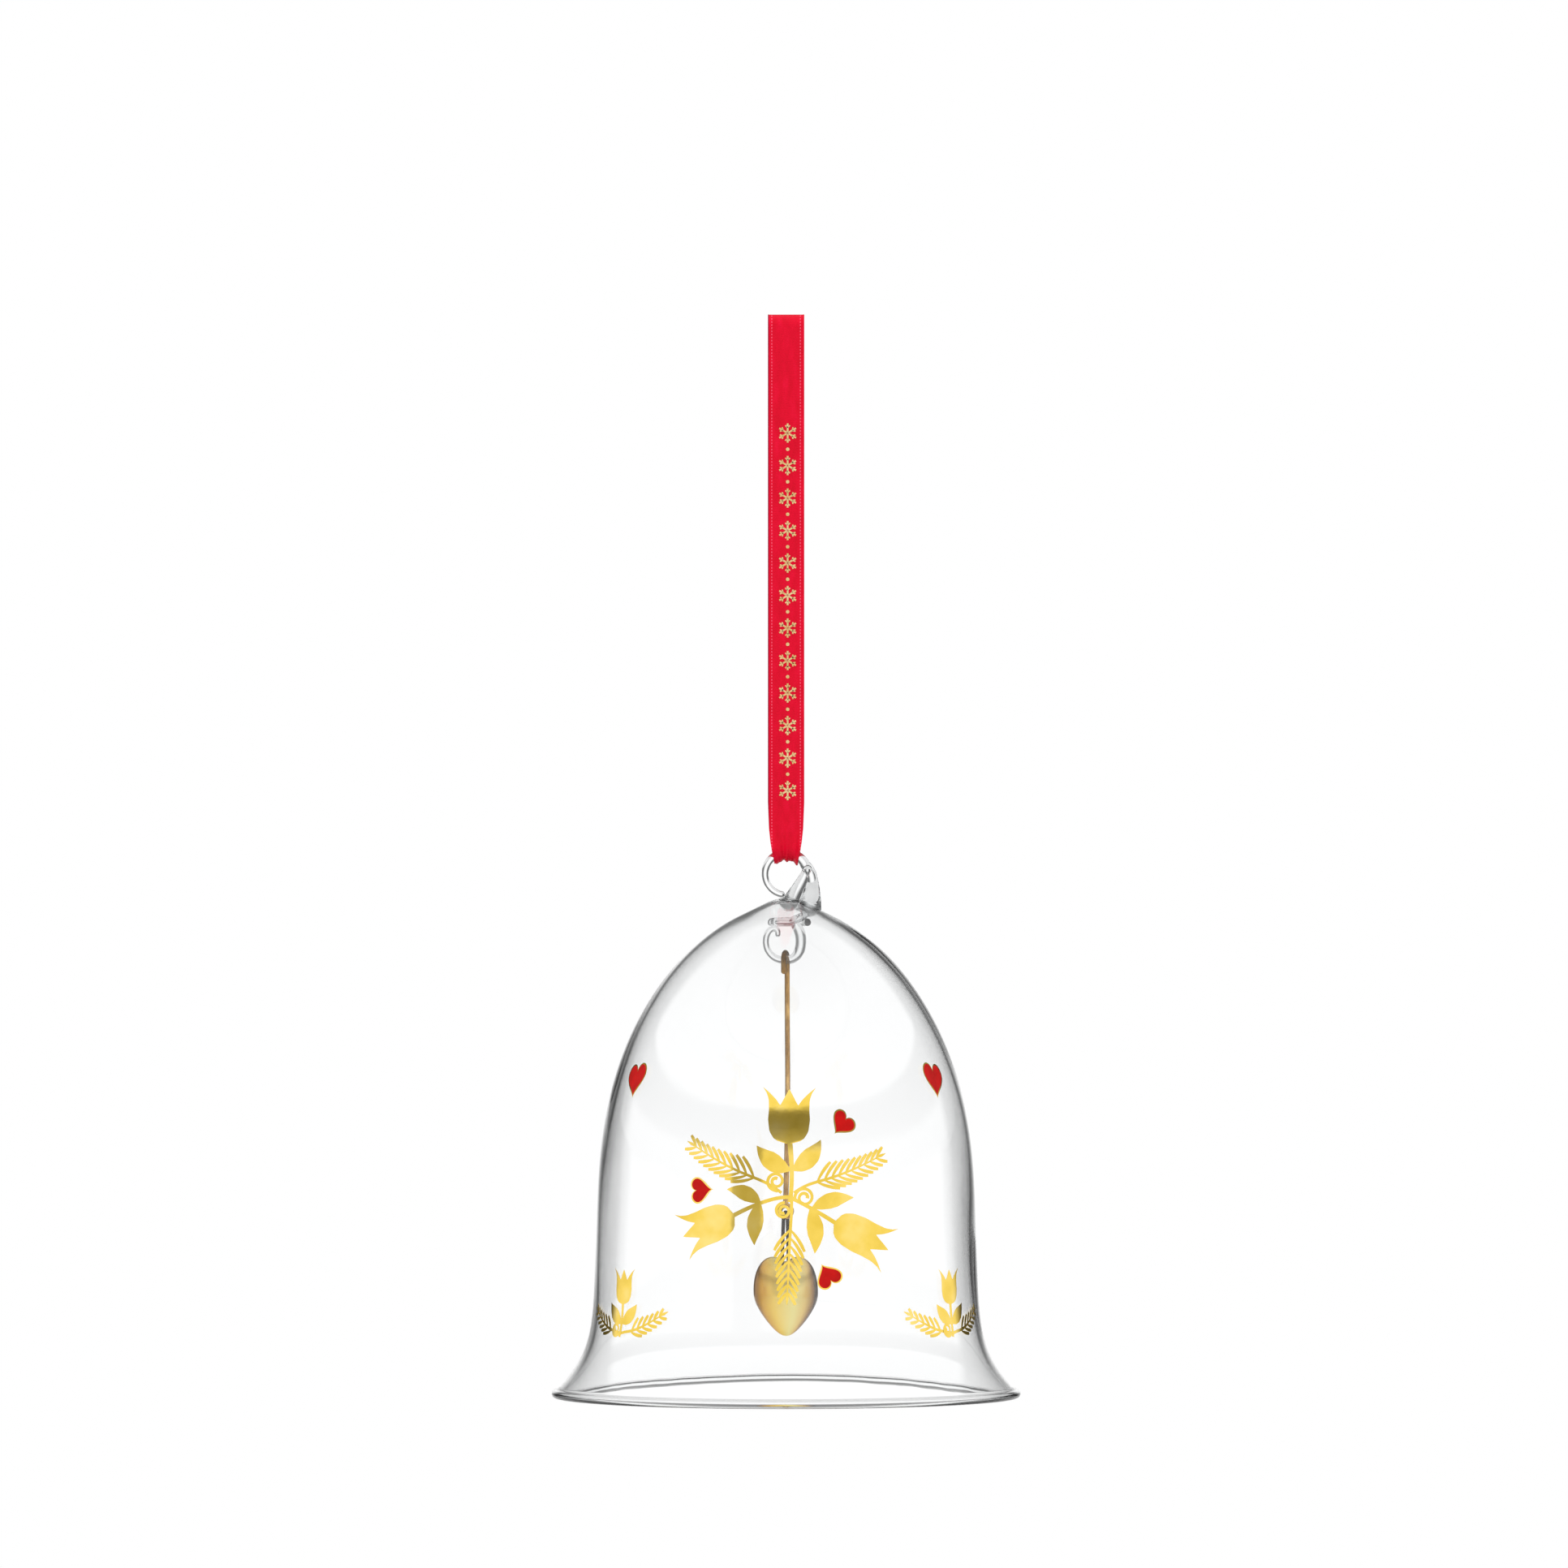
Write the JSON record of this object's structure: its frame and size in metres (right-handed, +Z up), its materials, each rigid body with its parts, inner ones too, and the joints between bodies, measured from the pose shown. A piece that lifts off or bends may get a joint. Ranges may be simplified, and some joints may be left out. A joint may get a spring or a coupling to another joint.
{
  "type": "christmas bell ornament",
  "caption": "Clear blown-glass bell with a flared rolled rim, gilt and red decoration and a heart clapper on a wire, hung from a glass loop on a red satin ribbon.",
  "frame": {"origin": "top of the ribbon's fold, where the ornament hangs on its hook or twig", "axes": "+Z up along the hanging line and the bell's axis, +X to the right as seen from the decorated front, -Y towards the viewer"},
  "size_m": [0.0904, 0.0904, 0.2086],
  "materials": {
    "clear_glass": "clear polished blown glass",
    "brass_wire": "drawn brass wire, slightly tarnished",
    "dark_wire": "thin darkened brass wire",
    "gold_lustre_glass": "glass with a champagne-gold lustre",
    "red_satin": "woven satin ribbon",
    "mirror_gold": "fired-on mirror gold film",
    "red_enamel": "fired-on glossy red enamel",
    "gold_foil": "gold foil print on the ribbon"
  },
  "bodies": {
    "ribbon": {"ribbon_fold": "red_satin", "ribbon_front": "red_satin", "ribbon_back": "red_satin", "ribbon_lap": "red_satin", "ribbon_gather_front": "red_satin", "ribbon_gather_back": "red_satin", "ribbon_bend": "red_satin"},
    "bell": {"bell_shell": "clear_glass", "crown_button": "clear_glass", "hanging_loop": "clear_glass", "crown_coil": "clear_glass", "clapper_ring": "clear_glass"},
    "clapper": {"clapper_wire": "brass_wire"},
    "heart": {"heart_bail": "dark_wire", "clapper_heart": "gold_lustre_glass"}
  },
  "joints": [
    {"name": "bell_swing", "type": "hinge", "parent": "ribbon", "child": "bell", "pos_m": [0, 0, -0.10375], "axis": [1, 0, 0], "range_deg": [-40, 40]},
    {"name": "clapper_swing", "type": "hinge", "parent": "bell", "child": "clapper", "pos_m": [0, 0, -0.12445], "axis": [1, 0, 0], "range_deg": [-25, 25]},
    {"name": "heart_swing", "type": "hinge", "parent": "clapper", "child": "heart", "pos_m": [0, 0, -0.17287], "axis": [0.342, 0.9397, 0], "range_deg": [-20, 20]}
  ]
}
